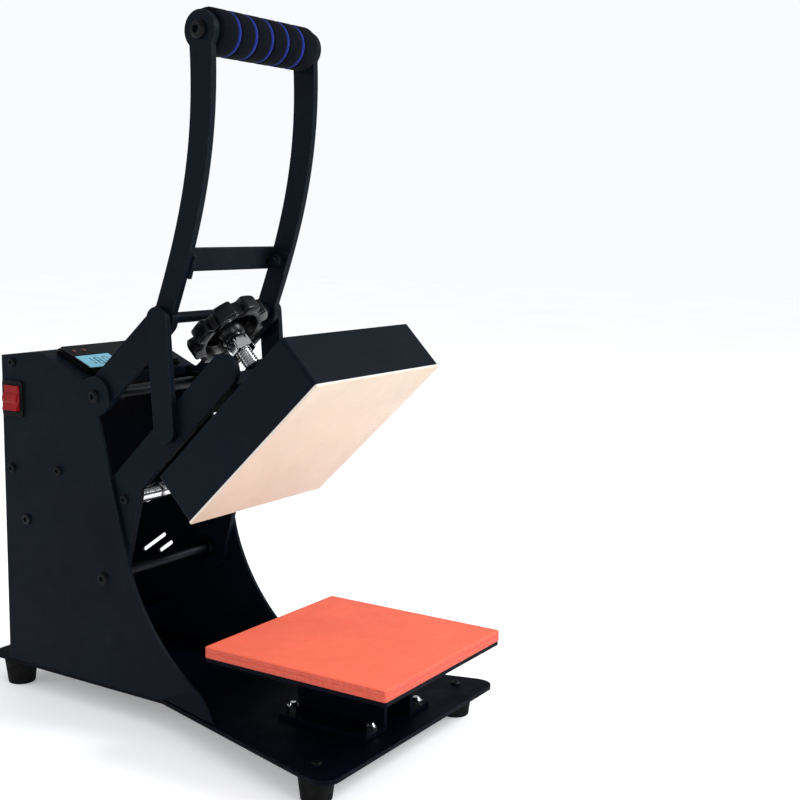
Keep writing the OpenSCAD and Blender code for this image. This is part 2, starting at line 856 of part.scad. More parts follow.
module lever_spreader() {
  color("#171a22") on_feet() {
    x_rod(spreader, 4, -bar_in, bar_in);
    for (s = [-1, 1]) mirrored(s) x_rod(spreader, 2.5, bar_in - 1, bar_out);
  }
}

module handle_crossbar() {
  tilt = 19;
  flat = 3;
  tab = 17;
  color("#1c212b") on_feet() translate([0, crossbar_at[0], crossbar_at[1]]) rotate([tilt, 0, 0])
    difference() {
      union() {
        block([-bar_in, bar_in], [tab / 2 - flat, tab / 2], [-8.5, 8.5]);
        for (s = [-1, 1]) mirrored(s) block([bar_in - flat, bar_in], [-tab / 2, tab / 2], [-8.5, 8.5]);
      }
      x_rod([0, 0], 3 + fit, -bar_in - 1, bar_in + 1);
    }
  color("#c9ccd0") on_feet() for (s = [-1, 1]) mirrored(s) {
    x_rod(crossbar_at, 3, bar_in - flat - 7, bar_out);
    x_rod(crossbar_at, 5.5, bar_in - flat - 5, bar_in - flat, $fn = 6);
  }
}

module grip_tube() {
  color("#8d9198") on_feet() difference() {
    x_rod(grip_at, 8, -bar_in, bar_in);
    x_rod(grip_at, pin_r + fit, -bar_in - 1, bar_in + 1);
  }
}

module foam_grip() {
  groove = 1.2;
  groove_w = 3;
  color("#141519") on_feet() difference() {
    x_rod(grip_at, grip_r, -bar_in + 1, bar_in - 1);
    x_rod(grip_at, 8 + fit, -bar_in, bar_in);
    for (i = [-2:2]) difference() {
      x_rod(grip_at, grip_r + 1, i * 17.5 - groove_w / 2, i * 17.5 + groove_w / 2);
      x_rod(grip_at, grip_r - groove, i * 17.5 - groove_w, i * 17.5 + groove_w);
    }
  }
}

module grip_screws() {
  color("#2a2d33") on_feet() for (s = [-1, 1]) mirrored(s) {
    x_rod(grip_at, pin_r, bar_out - 20, bar_out);
    translate([bar_out, grip_at[0], grip_at[1]]) rotate([0, 90, 0]) button_head(6.2, 4);
  }
}

module link(side) {
  pin_in = link_t - 1.2;
  color("#1d222c") on_feet() mirrored(side) difference() {
    yz_plate(link_in, link_t) strap(knee, link_r, link_foot, link_r);
    x_rod(knee, pin_r + fit, link_in - 1, link_in + pin_in);
  }
  color("#b9bdc2") on_feet() mirrored(side) {
    x_rod(knee, pin_r, bar_in - 0.6, link_in + pin_in);
    x_rod(knee, 7, bar_in - 3.2, bar_in - 0.6);
  }
}

module link_left() { link(-1); }

module link_right() { link(1); }

base_plate();
feet();
foot_screws();
side_plate_left();
side_plate_right();
rear_panel();
top_panel();
frame_screws();
pivot_brace();
electronics_tray();
relay_block();
terminal_block();
lever_pivot_shaft();
arm_pivot_shaft();
shaft_collars();
pivot_screws();
spring_rod();
lift_springs();
controller_bezel();
controller_case();
controller_board();
display_window();
status_leds();
key_set();
key_up();
key_down();
switch_bezel();
switch_rocker();
mains_inlet();
inlet_pins();
pedestal();
pedestal_bolts();
bed_plate();
bed_screws();
silicone_pad();
arm_left();
arm_right();
arm_cross_rod();
toggle_pins();
pressure_beam();
heating_platen();
heating_element();
insulation_blanket();
heater_cover();
cover_screws();
screw_hub();
guide_pins();
lead_gland();
pressure_screw();
lock_nut();
pressure_knob();
lever_left();
lever_right();
lever_spreader();
handle_crossbar();
grip_tube();
foam_grip();
grip_screws();
link_left();
link_right();
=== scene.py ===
"""Looks of the tabletop clamshell heat press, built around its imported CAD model."""

import json
import math

import bpy  # noqa: E402
from mathutils import Matrix, Vector  # noqa: E402


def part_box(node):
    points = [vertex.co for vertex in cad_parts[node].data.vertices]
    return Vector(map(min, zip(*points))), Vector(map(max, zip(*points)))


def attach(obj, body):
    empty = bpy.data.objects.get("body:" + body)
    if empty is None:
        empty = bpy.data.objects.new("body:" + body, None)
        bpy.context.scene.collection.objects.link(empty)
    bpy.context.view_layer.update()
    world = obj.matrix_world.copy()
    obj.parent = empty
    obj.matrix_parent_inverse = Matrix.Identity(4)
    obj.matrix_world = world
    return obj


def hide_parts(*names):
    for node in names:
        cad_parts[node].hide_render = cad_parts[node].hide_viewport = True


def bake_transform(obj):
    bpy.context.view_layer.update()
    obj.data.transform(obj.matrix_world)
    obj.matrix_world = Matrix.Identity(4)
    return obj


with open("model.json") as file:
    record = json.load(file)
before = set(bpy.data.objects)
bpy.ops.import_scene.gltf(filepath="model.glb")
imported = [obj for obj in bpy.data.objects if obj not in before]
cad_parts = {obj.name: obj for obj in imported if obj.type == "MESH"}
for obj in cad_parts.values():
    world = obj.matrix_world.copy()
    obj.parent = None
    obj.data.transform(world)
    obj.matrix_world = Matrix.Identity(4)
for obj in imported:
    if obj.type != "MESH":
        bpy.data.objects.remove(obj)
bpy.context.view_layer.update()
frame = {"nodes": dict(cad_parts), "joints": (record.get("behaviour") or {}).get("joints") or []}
joints = {j["name"]: j for j in frame["joints"]}
nodes = frame["nodes"]

MM = 0.001
X_AXIS = Vector((1, 0, 0))


# ---- camera, light and floor ----


def add_camera():
    """The viewing angle: fitted to the bed and the platen as two squares of one size."""
    data = bpy.data.cameras.new("camera")
    data.sensor_width = 36
    data.lens = 57.7
    data.clip_start, data.clip_end = 0.05, 50
    cam = bpy.data.objects.new("camera", data)
    cam.location = (-0.7196, -0.6148, 0.3685)
    cam.rotation_euler = [math.radians(a) for a in (82.08, -0.76, -57.23)]
    bpy.context.scene.collection.objects.link(cam)
    bpy.context.scene.camera = cam


def add_area(name, at, target, size, power, colour):
    """A round soft light at a point, turned to a target; sizes in metres, power in watts."""
    data = bpy.data.lights.new(name, "AREA")
    data.shape, data.size, data.energy, data.color = "DISK", size, power, colour
    light = bpy.data.objects.new(name, data)
    light.location = at
    light.rotation_euler = (Vector(target) - Vector(at)).to_track_quat("-Z", "Y").to_euler()
    bpy.context.scene.collection.objects.link(light)


def add_world(strength, seen, mirrored):
    """A pale room: one level lights the scene, one is seen behind it and one shows in reflections."""
    world = bpy.data.worlds.new("studio")
    bpy.context.scene.world = world
    world.use_nodes = True
    tree = world.node_tree
    back = tree.nodes["Background"]
    back.inputs["Color"].default_value = (0.95, 0.97, 1.0, 1)
    path = tree.nodes.new("ShaderNodeLightPath")

    def switch(ray, off, on):
        """One strength for rays of a kind and another for all others; either may be a socket."""
        node = tree.nodes.new("ShaderNodeMapRange")
        tree.links.new(path.outputs[ray], node.inputs["Value"])
        for slot, value in (("To Min", off), ("To Max", on)):
            if isinstance(value, float):
                node.inputs[slot].default_value = value
            else:
                tree.links.new(value, node.inputs[slot])
        return node.outputs["Result"]

    lit = switch("Is Glossy Ray", strength, mirrored)
    tree.links.new(switch("Is Camera Ray", lit, seen), back.inputs["Strength"])


add_camera()
add_world(strength=0.88, seen=1.0, mirrored=0.42)
add_area("key", (0.9, -1.3, 1.25), (0, -0.05, 0.2), 0.8, 25, (0.97, 0.98, 1.0))
add_area("front_fill", (-0.5, -1.8, 0.5), (0, -0.1, 0.2), 0.7, 9, (0.9, 0.95, 1.0))
add_area("back_rim", (-1.4, 1.2, 1.0), (0, 0.05, 0.25), 0.6, 4, (0.93, 0.96, 1.0))

bpy.context.scene.view_settings.view_transform = "Standard"


# ---- materials ----


class Paint:
    """A node material under construction; points are read in the object's own metres."""

    def __init__(self, name):
        self.material = bpy.data.materials.new(name)
        self.material.use_nodes = True
        self.tree = self.material.node_tree
        self.shader = self.tree.nodes["Principled BSDF"]
        self.point = self.add("ShaderNodeTexCoord").outputs["Object"]

    def add(self, kind, **values):
        node = self.tree.nodes.new(kind)
        for key, value in values.items():
            setattr(node, key, value)
        return node

    def link(self, a, b):
        self.tree.links.new(a, b)

    def noise(self, scale, detail=3.0, rough=0.55, stretch=None):
        node = self.add("ShaderNodeTexNoise")
        node.inputs["Scale"].default_value = scale
        node.inputs["Detail"].default_value = detail
        node.inputs["Roughness"].default_value = rough
        if stretch:
            mapping = self.add("ShaderNodeMapping")
            mapping.inputs["Scale"].default_value = stretch
            self.link(self.point, mapping.inputs["Vector"])
            self.link(mapping.outputs["Vector"], node.inputs["Vector"])
        else:
            self.link(self.point, node.inputs["Vector"])
        return node.outputs["Fac"]

    def spread(self, value, low, high, to_low=0.0, to_high=1.0):
        node = self.add("ShaderNodeMapRange")
        node.inputs["From Min"].default_value = low
        node.inputs["From Max"].default_value = high
        node.inputs["To Min"].default_value = to_low
        node.inputs["To Max"].default_value = to_high
        self.link(value, node.inputs["Value"])
        return node.outputs["Result"]

    def math(self, operation, a, b=0.0):
        node = self.add("ShaderNodeMath", operation=operation)
        for value, slot in ((a, node.inputs[0]), (b, node.inputs[1])):
            if isinstance(value, (int, float)):
                slot.default_value = value
            else:
                self.link(value, slot)
        return node.outputs["Value"]

    def mix(self, share, a, b):
        node = self.add("ShaderNodeMix", data_type="RGBA")
        for value, slot in ((share, node.inputs[0]), (a, node.inputs[6]), (b, node.inputs[7])):
            if isinstance(value, tuple):
                slot.default_value = (*value, 1)
            elif isinstance(value, (int, float)):
                slot.default_value = value
            else:
                self.link(value, slot)
        return node.outputs[2]

    def edges(self, radius, low=0.02, high=0.3):
        """1 on outer edges, 0 on flat faces: how far a rounded normal leans from the true one."""
        bevel = self.add("ShaderNodeBevel", samples=6)
        bevel.inputs["Radius"].default_value = radius
        flat = self.add("ShaderNodeNewGeometry").outputs["Normal"]
        dot = self.add("ShaderNodeVectorMath", operation="DOT_PRODUCT")
        self.link(bevel.outputs["Normal"], dot.inputs[0])
        self.link(flat, dot.inputs[1])
        lean = self.math("SUBTRACT", 1.0, dot.outputs["Value"])
        patchy = self.spread(self.noise(420), 0.42, 0.62)
        return self.math("MULTIPLY", self.spread(lean, low, high), patchy)

    def bump(self, height, strength, distance):
        """Adds a bump on top of those already there."""
        node = self.add("ShaderNodeBump")
        node.inputs["Strength"].default_value = strength
        node.inputs["Distance"].default_value = distance
        self.link(height, node.inputs["Height"])
        if self.shader.inputs["Normal"].is_linked:
            self.link(self.shader.inputs["Normal"].links[0].from_socket, node.inputs["Normal"])
        self.link(node.outputs["Normal"], self.shader.inputs["Normal"])

    def colour(self, socket):
        self.link(socket, self.shader.inputs["Base Color"])

    def set(self, **values):
        """Shader inputs by name, as numbers, colours or sockets."""
        for key, value in values.items():
            slot = self.shader.inputs[key.replace("_", " ").title().replace("Ior", "IOR")]
            if isinstance(value, (int, float)):
                slot.default_value = value
            elif isinstance(value, tuple):
                slot.default_value = (*value, 1)
            else:
                self.link(value, slot)


def powder_coat(name, base, edge_wear_and_highlight, level=0.05):
    """Fine-textured powder coat: grains of about half a millimetre, and paler edges, partly rubbed
    wear and partly a painted highlight.
    """
    p = Paint(name)
    cloud = p.spread(p.noise(9, 4), 0.3, 0.7)
    body = p.mix(cloud, tuple(c * 0.8 for c in base), tuple(c * 1.25 for c in base))
    speck = p.spread(p.noise(2600, 1), 0.45, 0.75)
    body = p.mix(p.math("MULTIPLY", speck, 0.3), body, tuple(c * 2.2 for c in base))
    dust = p.spread(p.noise(55, 6, 0.7), 0.55, 0.82, 0, 0.025)
    body = p.mix(dust, body, (0.10, 0.11, 0.13))
    # Paler edges: rubbed wear together with a painted highlight where the edges catch the light.
    p.colour(p.mix(p.math("MULTIPLY", p.edges(0.0008), 0.6), body, edge_wear_and_highlight))
    p.set(roughness=p.spread(p.noise(60, 5), 0.3, 0.7, 0.42, 0.56), specular_ior_level=level)
    p.bump(p.noise(1900, 2), 0.32, 0.00012)
    p.bump(p.noise(420, 2), 0.12, 0.0002)
    return p.material


def plated(name, base, rough, along, dull=0.0):
    """Drawn or plated metal: fine lines along one axis, cloudy polish and faint scuffs."""
    p = Paint(name)
    squeeze = tuple(1.0 if i == along else 40.0 for i in range(3))
    lines = p.noise(60, 3, 0.6, squeeze)
    cloud = p.noise(70, 4)
    grime = p.spread(p.noise(210, 5, 0.7), 0.58, 0.8, 0, 0.25)
    shade = p.mix(p.spread(cloud, 0.3, 0.7), tuple(c * 0.86 for c in base), base)
    p.colour(p.mix(grime, shade, tuple(c * 0.45 for c in base)))
    level = p.math("ADD", p.spread(lines, 0.3, 0.7, rough * 0.92, rough * 1.1), grime)
    p.set(metallic=1.0 - dull, roughness=p.math("MINIMUM", level, 0.7))
    p.bump(lines, 0.03, 0.00001)
    return p.material


def moulded(name, base, rough, grain=0.2, coat=0.0, level=0.4):
    """Moulded plastic: spark-eroded grain, slight sheen changes and paler scuffed edges."""
    p = Paint(name)
    cloud = p.spread(p.noise(45, 4), 0.3, 0.7)
    body = p.mix(cloud, tuple(c * 0.85 for c in base), tuple(c * 1.15 for c in base))
    scuff = p.math("MULTIPLY", p.edges(0.0005), 0.3)
    p.colour(p.mix(scuff, body, tuple(c * 0.7 + 0.12 for c in base)))
    p.set(roughness=p.spread(p.noise(120, 5), 0.3, 0.7, rough * 0.85, rough * 1.15))
    p.set(specular_ior_level=level)
    if coat:
        p.set(coat_weight=coat, coat_roughness=0.08)
    p.bump(p.noise(2200, 2), grain, 0.00008)
    return p.material


def rubber(name, base):
    """Matt moulded rubber with settled dust."""
    p = Paint(name)
    dust = p.spread(p.noise(90, 6, 0.7), 0.45, 0.8, 0, 0.25)
    cloud = p.mix(p.spread(p.noise(30), 0.3, 0.7), base, tuple(c * 1.5 for c in base))
    p.colour(p.mix(dust, cloud, (0.02, 0.02, 0.02)))
    p.set(roughness=p.spread(p.noise(200, 4), 0.3, 0.7, 0.6, 0.85), specular_ior_level=0.08)
    p.bump(p.noise(900, 3), 0.25, 0.0002)
    return p.material


def foam(name, base, sheen):
    """Closed-cell foam: tiny cells with soft fuzz."""
    p = Paint(name)
    cells = p.add("ShaderNodeTexVoronoi")
    cells.inputs["Scale"].default_value = 1500
    p.link(p.point, cells.inputs["Vector"])
    pit = p.spread(cells.outputs["Distance"], 0.1, 0.7)
    tone = p.mix(pit, tuple(c * 0.55 for c in base), tuple(c * 1.35 for c in base))
    p.colour(p.mix(p.spread(p.noise(40, 4), 0.4, 0.8, 0, 0.5), tone, tuple(c * 0.6 for c in base)))
    p.set(roughness=0.88, specular_ior_level=0.05)
    p.shader.inputs["Sheen Weight"].default_value = sheen
    p.shader.inputs["Sheen Roughness"].default_value = 0.5
    p.bump(pit, 0.5, 0.00025)
    p.bump(p.noise(180, 3), 0.25, 0.0006)
    return p.material


def silicone(name, base, side):
    """Sponge silicone: fine open cells on the cut sides, a darker side colour as painted shade, and a
    woven press mark on top.
    """
    p = Paint(name)
    weave_scale = 4200
    cells = p.add("ShaderNodeTexVoronoi")
    cells.inputs["Scale"].default_value = 700
    p.link(p.point, cells.inputs["Vector"])
    pit = p.spread(cells.outputs["Distance"], 0.05, 0.55)
    split = p.add("ShaderNodeSeparateXYZ")
    p.link(p.point, split.inputs["Vector"])
    facing = p.add("ShaderNodeSeparateXYZ")
    p.link(p.add("ShaderNodeNewGeometry").outputs["Normal"], facing.inputs["Vector"])
    is_side = p.spread(facing.outputs["Z"], 0.75, 0.35)
    weave = p.math(
        "MULTIPLY",
        p.math("SINE", p.math("MULTIPLY", split.outputs["X"], weave_scale)),
        p.math("SINE", p.math("MULTIPLY", split.outputs["Y"], weave_scale)),
    )
    blush = p.mix(p.spread(p.noise(22, 5), 0.3, 0.75), base, tuple(c * 0.86 for c in base))
    stain = p.spread(p.noise(13, 6, 0.65), 0.52, 0.8, 0, 0.22)
    blush = p.mix(stain, blush, (base[0] * 0.75, base[1] * 0.8, base[2] * 0.9))
    # Painted shade: side faces get a darker red than the top, as on faces turned from the light; the
    # open cells vary it further.
    cut = p.mix(pit, tuple(c * 0.7 for c in side), side)
    p.colour(p.mix(is_side, blush, cut))
    p.set(roughness=p.spread(p.noise(150, 4), 0.3, 0.7, 0.62, 0.8), specular_ior_level=0.3)
    p.shader.inputs["Subsurface Weight"].default_value = 0.04
    p.shader.inputs["Subsurface Radius"].default_value = (0.002, 0.0008, 0.0005)
    p.bump(weave, 0.10, 0.0001)
    p.bump(p.math("MULTIPLY", pit, is_side), 0.7, 0.0004)
    p.bump(p.noise(260, 3), 0.15, 0.0003)
    return p.material


def coated_platen(name, base, rim, normal, face_d, lip):
    """Non-stick coating on the platen's face, and a pale bare rim where the casting shows.

    The face is where a point's distance along normal is face_d; the rim starts within lip of it.
    """
    p = Paint(name)
    cloud = p.spread(p.noise(14, 5), 0.3, 0.72)
    body = p.mix(cloud, tuple(c * 0.93 for c in base), tuple(min(c * 1.05, 0.95) for c in base))
    weave = p.noise(1500, 2, 0.5, (1.0, 0.25, 0.25))
    body = p.mix(p.spread(weave, 0.45, 0.7, 0, 0.18), body, tuple(c * 0.8 for c in base))
    mark = p.spread(p.noise(34, 7, 0.75), 0.6, 0.78, 0, 0.16)
    body = p.mix(mark, body, (0.50, 0.33, 0.22))
    depth = p.add("ShaderNodeVectorMath", operation="DOT_PRODUCT")
    depth.inputs[1].default_value = normal
    p.link(p.point, depth.inputs[0])
    off_face = p.spread(depth.outputs["Value"], face_d + lip * 0.15, face_d + lip * 0.3)
    p.colour(p.mix(off_face, body, rim))
    p.set(metallic=p.spread(off_face, 0, 1, 0.0, 0.35),
          roughness=p.spread(p.noise(90, 4), 0.3, 0.7, 0.42, 0.58))
    p.bump(weave, 0.12, 0.0001)
    p.bump(p.noise(300, 3), 0.08, 0.0002)
    return p.material


def display_glass(name, base):
    """A backlit display behind a smooth window."""
    p = Paint(name)
    glow = p.spread(p.noise(60, 2), 0.3, 0.7)
    tone = p.mix(glow, tuple(c * 0.86 for c in base), base)
    p.colour(tone)
    p.link(tone, p.shader.inputs["Emission Color"])
    p.shader.inputs["Emission Strength"].default_value = 0.15
    p.set(roughness=p.spread(p.noise(180, 4), 0.3, 0.7, 0.08, 0.2))
    p.bump(p.noise(500, 2), 0.03, 0.0001)
    return p.material


def fibre(name, base):
    """Felted mineral wool."""
    p = Paint(name)
    wool = p.noise(260, 6, 0.7, (1.0, 4.0, 1.0))
    p.colour(p.mix(p.spread(wool, 0.35, 0.65), tuple(c * 0.7 for c in base), base))
    p.set(roughness=0.95)
    p.bump(wool, 0.6, 0.0008)
    return p.material


# Each coat's second colour is its pale edge: rubbed wear plus a painted highlight.
coat = powder_coat("powder_coat", (0.0026, 0.0048, 0.0088), (0.055, 0.068, 0.088))
base_coat = powder_coat("base_coat", (0.0013, 0.0019, 0.0052), (0.04, 0.048, 0.062), 0.03)
black_screw = powder_coat("black_screw", (0.0012, 0.0015, 0.0024), (0.05, 0.05, 0.055), 0.14)
zinc = plated("zinc_x", (0.72, 0.73, 0.74), 0.24, 0)
zinc_z = plated("zinc_z", (0.68, 0.69, 0.7), 0.28, 2)
dark_steel = plated("dark_steel", (0.022, 0.024, 0.028), 0.38, 0)
chrome = plated("chrome", (0.86, 0.87, 0.88), 0.09, 2)
spring_wire = plated("spring_wire", (0.5, 0.51, 0.53), 0.25, 1)
brass = plated("brass", (0.75, 0.56, 0.26), 0.25, 1)
element = plated("element", (0.32, 0.27, 0.22), 0.6, 0, 0.4)
black_plastic = moulded("black_plastic", (0.0024, 0.0025, 0.0034), 0.5, 0.3, level=0.1)
knob_plastic = moulded("knob_plastic", (0.0010, 0.0012, 0.0020), 0.3, 0.1, level=0.34)
gloss_black = moulded("gloss_black", (0.0014, 0.0014, 0.0020), 0.34, 0.05, level=0.08)
key_plastic = moulded("key_plastic", (0.016, 0.017, 0.021), 0.45, 0.2)
red_plastic = moulded("red_plastic", (0.25, 0.006, 0.008), 0.34, 0.04, level=0.12)
cream = moulded("cream_plastic", (0.72, 0.68, 0.6), 0.45, 0.15)
board_green = moulded("board_green", (0.02, 0.16, 0.06), 0.35, 0.1)
white_mark = moulded("white_mark", (0.55, 0.55, 0.54), 0.5, 0.05)
lcd_dark = moulded("lcd_digit", (0.02, 0.05, 0.07), 0.4, 0.02)
led_red = moulded("led_red", (0.12, 0.008, 0.008), 0.2, 0.02, 0.3)
black_rubber = rubber("black_rubber", (0.0022, 0.0022, 0.0022))
black_foam = foam("black_foam", (0.0014, 0.0021, 0.0048), 0.01)
blue_foam = foam("blue_foam", (0.008, 0.018, 0.15), 0.06)
lcd = display_glass("lcd", (0.17, 0.47, 0.60))
wool = fibre("glass_wool", (0.8, 0.78, 0.72))

lift_axis = Vector(joints["heater_lift"]["axis"]).normalized()


def reach(node, direction):
    """Least and greatest distance of a node's points along a direction from the origin."""
    d = [v.co.dot(direction) for v in nodes[node].data.vertices]
    return min(d), max(d)


platen_face = reach("heating_platen", lift_axis)[0]
PLATEN_LIP = 2 * MM
platen_coat = coated_platen("platen_coat", (0.63, 0.51, 0.39), (0.72, 0.66, 0.6), lift_axis,
                            platen_face, PLATEN_LIP)
# The pad's second colour is its sides: a darker red that stands for painted shade.
pad_rubber = silicone("pad_silicone", (0.86, 0.14, 0.075), (0.60, 0.09, 0.055))


# ---- CAD nodes that stay: softened edges and their materials ----

KEPT = {
    coat: ["side_plate_left", "side_plate_right", "rear_panel", "top_panel", "arm_left", "arm_right",
           "pressure_beam", "screw_hub", "heater_cover", "lever_left", "lever_right", "lever_spreader",
           "handle_crossbar", "link_left", "link_right"],
    base_coat: ["base_plate", "pedestal", "bed_plate", "pivot_brace", "electronics_tray"],
    black_screw: ["frame_screws", "pivot_screws", "grip_screws", "foot_screws", "cover_screws",
                  "toggle_pins"],
    zinc: ["arm_cross_rod", "grip_tube"],
    dark_steel: ["lever_pivot_shaft", "arm_pivot_shaft", "spring_rod", "guide_pins", "shaft_collars"],
    zinc_z: ["bed_screws"],
    chrome: ["pedestal_bolts"],
    brass: ["inlet_pins"],
    element: ["heating_element"],
    black_plastic: ["controller_case", "terminal_block", "switch_bezel", "mains_inlet", "lead_gland"],
    gloss_black: ["controller_bezel"],
    key_plastic: ["key_set", "key_up", "key_down"],
    red_plastic: ["switch_rocker"],
    cream: ["relay_block"],
    board_green: ["controller_board"],
    led_red: ["status_leds"],
    lcd: ["display_window"],
    black_rubber: ["feet"],
    wool: ["insulation_blanket"],
    platen_coat: ["heating_platen"],
}
# Widths of the rounded edges in millimetres; other nodes get EDGE_ELSEWHERE
EDGE_ELSEWHERE = 0.25
EDGE = {"heater_cover": 0.8, "feet": 0.9, "switch_rocker": 0.5, "key_set": 0.4, "key_up": 0.4,
        "key_down": 0.4, "heating_platen": 0.4, "side_plate_left": 0.35, "side_plate_right": 0.35,
        "lever_left": 0.7, "lever_right": 0.7, "arm_left": 0.7, "arm_right": 0.7, "link_left": 0.7,
        "link_right": 0.7, "base_plate": 0.6, "lever_spreader": 0.5, "pressure_beam": 0.7}


def soften(obj, width):
    """Welds and re-joins the CAD triangles, rounds the hard edges and evens out the shading."""
    for polygon in obj.data.polygons:
        polygon.use_smooth = True
    weld = obj.modifiers.new("weld", "WELD")
    weld.merge_threshold = 1e-6
    flat = obj.modifiers.new("flat", "DECIMATE")
    flat.decimate_type, flat.angle_limit = "DISSOLVE", math.radians(0.4)
    bevel = obj.modifiers.new("bevel", "BEVEL")
    bevel.width, bevel.segments = width, 2
    bevel.limit_method, bevel.angle_limit = "ANGLE", math.radians(32)
    bevel.miter_outer = "MITER_ARC"
    even = obj.modifiers.new("even", "WEIGHTED_NORMAL")
    even.keep_sharp = False


for material, names in KEPT.items():
    for name in names:
        obj = nodes[name]
        obj.data.materials.clear()
        obj.data.materials.append(material)
        soften(obj, EDGE.get(name, EDGE_ELSEWHERE) * MM)


# ---- piece building ----


def make_piece(name, verts, faces, body, material, replaces=(), smooth=True):
    """A mesh piece in the row frame; it rides on a body unless body is None."""
    mesh = bpy.data.meshes.new(name)
    mesh.from_pydata([tuple(v) for v in verts], [], faces)
    mesh.validate()
    for polygon in mesh.polygons:
        polygon.use_smooth = smooth
    mesh.materials.append(material)
    obj = bpy.data.objects.new(name, mesh)
    bpy.context.scene.collection.objects.link(obj)
    if body:
        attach(obj, body)
    if replaces:
        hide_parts(*replaces)
    return obj


def stack(rings, closed_ends=(True, True)):
    """Verts and faces of a skin over rings that all have the same number of points."""
    count = len(rings[0])
    verts = [p for ring in rings for p in ring]
    faces = []
    for k in range(len(rings) - 1):
        for i in range(count):
            a, b = k * count + i, k * count + (i + 1) % count
            faces.append((a, b, b + count, a + count))
    if closed_ends[0]:
        faces.append(tuple(range(count - 1, -1, -1)))
    if closed_ends[1]:
        first = (len(rings) - 1) * count
        faces.append(tuple(range(first, first + count)))
    return verts, faces


def turned(profile, place, steps=64):
    """Rings of a turned profile, [(radius, height), ...], about the local Z axis of place."""
    angles = [2 * math.pi * i / steps for i in range(steps)]
    return [
        [place @ Vector((r * math.cos(a), r * math.sin(a), h)) for a in angles]
        for r, h in profile
    ]


def frame_at(origin, z_axis, x_axis=X_AXIS):
    """A matrix whose local Z runs along z_axis and local X as near x_axis as it can."""
    z = Vector(z_axis).normalized()
    y = z.cross(x_axis).normalized()
    x = y.cross(z)
    m = Matrix((x, y, z)).transposed().to_4x4()
    m.translation = origin
    return m


def middle(node):
    """The middle of a node's box at rest."""
    low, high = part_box(node)
    return (low + high) / 2


def sharpen(obj, degrees=35):
    """Marks edges over an angle as sharp, so that the shading keeps them crisp."""
    obj.data.set_sharp_from_angle(angle=math.radians(degrees))


# ---- foam grip ----


def add_foam_grip():
    """A soft sleeve with five grooves, and a coloured ring in each groove."""
    low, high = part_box("foam_grip")
    radius, half = (high.z - low.z) / 2, (high.x - low.x) / 2
    place = frame_at(middle("foam_grip"), X_AXIS, Vector((0, 0, 1)))
    bore, steps = 8.1 * MM, 72
    pitch, groove, deep = 17.5 * MM, 1.5 * MM, 1.3 * MM
    grooves = range(-2, 3)
    profile = [(bore, -half), (radius - 2.2 * MM, -half), (radius - 0.6 * MM, -half + 0.7 * MM),
               (radius, -half + 2.4 * MM)]
    for i in grooves:
        mid = i * pitch
        profile += [(radius, mid - groove - 1.6 * MM), (radius - 0.25 * MM, mid - groove - 0.5 * MM),
                    (radius - deep * 0.8, mid - groove), (radius - deep, mid - groove * 0.7),
                    (radius - deep, mid + groove * 0.7), (radius - deep * 0.8, mid + groove),
                    (radius - 0.25 * MM, mid + groove + 0.5 * MM), (radius, mid + groove + 1.6 * MM)]
    profile += [(radius, half - 2.4 * MM), (radius - 0.6 * MM, half - 0.7 * MM),
                (radius - 2.2 * MM, half), (bore, half)]
    verts, faces = stack(turned(profile, place, steps), (False, False))
    grip = make_piece("foam_grip_sleeve", verts, faces, "lever", black_foam, ["foam_grip"])
    top = radius - 0.35 * MM
    for i in grooves:
        mid = i * pitch
        band = [(radius - deep - 0.3 * MM, mid - groove * 1.02), (top - 0.5 * MM, mid - groove * 0.98),
                (top, mid - groove * 0.55), (top + 0.1 * MM, mid), (top, mid + groove * 0.55),
                (top - 0.5 * MM, mid + groove * 0.98), (radius - deep - 0.3 * MM, mid + groove * 1.02)]
        verts, faces = stack(turned(band, place, steps), (False, False))
        make_piece(f"grip_ring_{i + 3}", verts, faces, "lever", blue_foam)


# ---- pressure knob, screw and nut ----

# Local Z runs up the screw from the knob's lower face
knob_place = frame_at(Vector(joints["knob_turn"]["pos_m"]), lift_axis)
KNOB_T = 12.5


def arc(cx, cy, r, start, end, count):
    """Points of an arc, the angles in radians."""
    angles = [start + (end - start) * i / count for i in range(count + 1)]
    return [(cx + r * math.cos(a), cy + r * math.sin(a)) for a in angles]


def knob_outline(inset):
    """The eight-lobed outline in metres: square lobes with rounded corners and filleted valleys."""
    lobes, corner, fillet = 8, 2.6, 1.6
    far, half, core = 31.5 - inset, 7.5 - inset, 26.0 - inset
    corner, fillet = max(corner - inset, 0.4), fillet + inset
    fy = -(half + fillet)
    fx = math.sqrt((core + fillet) ** 2 - fy ** 2)
    cy = -(half - corner)
    cx = math.sqrt((far - corner) ** 2 - cy ** 2)
    to_core = math.atan2(-fy, -fx)
    valley = math.atan2(fy, fx)
    tip = math.atan2(cy, cx)
    side = arc(0, 0, core, -math.pi / lobes, valley, 4)[:-1]
    side += arc(fx, fy, fillet, to_core, math.pi / 2, 5)
    side += arc(cx, cy, corner, -math.pi / 2, tip, 6)
    side += arc(0, 0, far, tip, 0, 5)[1:]
    lobe = side + [(x, -y) for x, y in reversed(side[1:-1])]
    points = []
    for i in range(lobes):
        turn = 2 * math.pi * i / lobes
        c, s = math.cos(turn), math.sin(turn)
        points += [Vector((c * x - s * y, s * x + c * y)) * MM for x, y in lobe]
    return points


